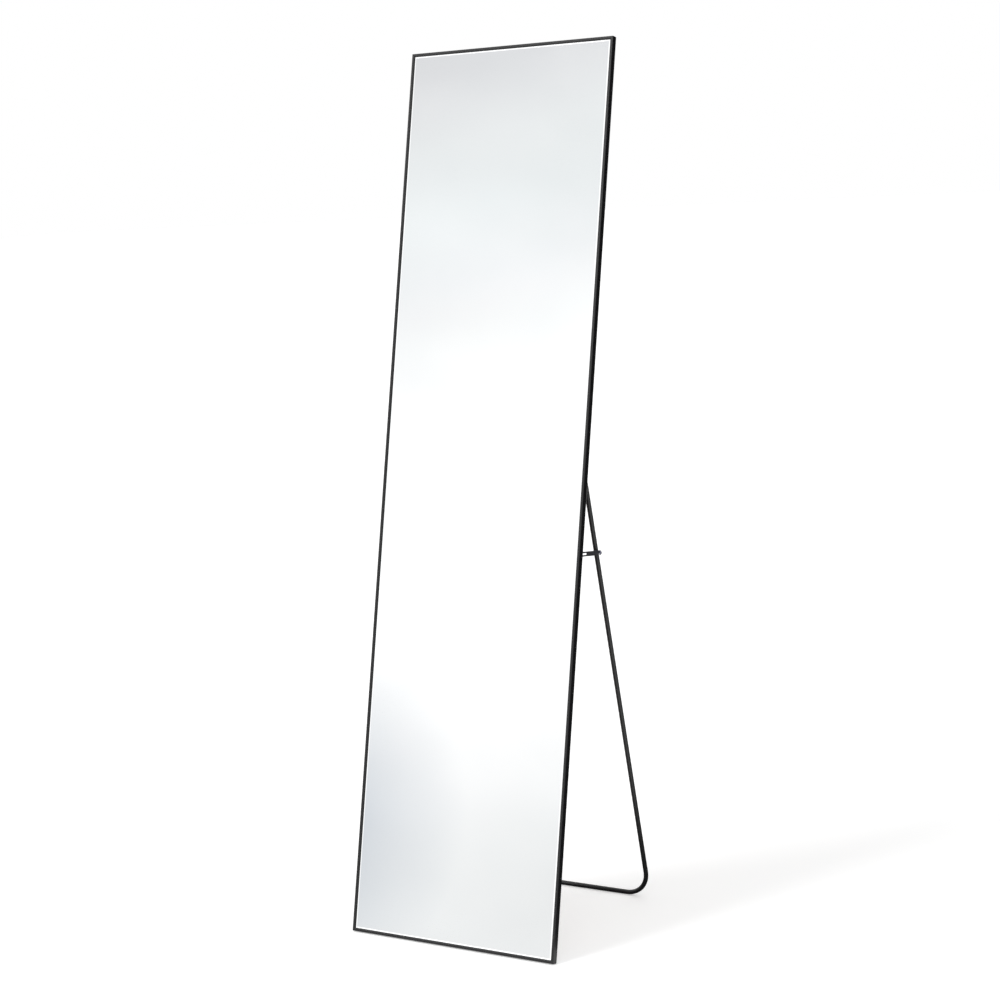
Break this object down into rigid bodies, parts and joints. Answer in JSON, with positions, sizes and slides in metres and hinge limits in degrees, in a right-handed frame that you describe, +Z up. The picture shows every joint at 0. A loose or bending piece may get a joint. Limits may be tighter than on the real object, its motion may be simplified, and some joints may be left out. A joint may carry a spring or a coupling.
{
  "type": "leaning floor mirror",
  "caption": "Full-length mirror in a slim black frame that leans back on a folding U-shaped tube stand, held open by hooked stays.",
  "frame": {"origin": "on the floor, in the middle of the mirror's own footprint", "axes": "+Z up, +X across the mirror to its right as seen from the front, the glass faces -Y and the stand is towards +Y"},
  "size_m": [0.4, 0.3691, 1.4593],
  "materials": {
    "frame_black": "black anodised, satin",
    "mirror": "silvered float glass",
    "foam": "soft closed-cell sheet",
    "backboard": "black faced fibreboard",
    "stand_black": "black powder coat, satin",
    "stay_black": "black coated steel",
    "bracket_black": "black coated steel",
    "key_steel": "plain pressed steel",
    "zinc": "bright zinc plated",
    "screw_black": "black zinc plated",
    "nylon": "natural nylon"
  },
  "bodies": {
    "frame": {"backboard": "backboard", "bracket_screws": "screw_black", "corner_key_bottom_left": "key_steel", "corner_key_bottom_right": "key_steel", "corner_key_top_left": "key_steel", "corner_key_top_right": "key_steel", "foam_sheet": "foam", "hinge_bolts": "zinc", "hinge_bracket_left": "bracket_black", "hinge_bracket_right": "bracket_black", "hinge_nuts": "zinc", "hinge_washers": "nylon", "mirror_glass": "mirror", "rail_bottom": "frame_black", "rail_top": "frame_black", "stay_bracket_left": "bracket_black", "stay_bracket_right": "bracket_black", "stay_pivot_screws": "zinc", "stile_left": "frame_black", "stile_right": "frame_black"},
    "stand": {"stand_tube": "stand_black", "stay_studs": "zinc"},
    "stay_right": {"stay_right": "stay_black"},
    "stay_left": {"stay_left": "stay_black"}
  },
  "joints": [
    {"name": "stand_fold", "type": "hinge", "parent": "frame", "child": "stand", "pos_m": [0, 0.0262, 0.77966], "axis": [-1, 0, 0], "range_deg": [0, 23.5]},
    {"name": "stay_right_swing", "type": "hinge", "parent": "frame", "child": "stay_right", "pos_m": [0.189, -0.00875, 0.63472], "axis": [1, 0, 0], "range_deg": [0, 84.19]},
    {"name": "stay_left_swing", "type": "hinge", "parent": "frame", "child": "stay_left", "pos_m": [-0.189, -0.00875, 0.63472], "axis": [1, 0, 0], "range_deg": [0, 84.19]}
  ],
  "couplings": [
    {"joint": "stay_right_swing", "follows": "stand_fold", "ratio": 3.5822},
    {"joint": "stay_left_swing", "follows": "stand_fold", "ratio": 3.5822}
  ]
}
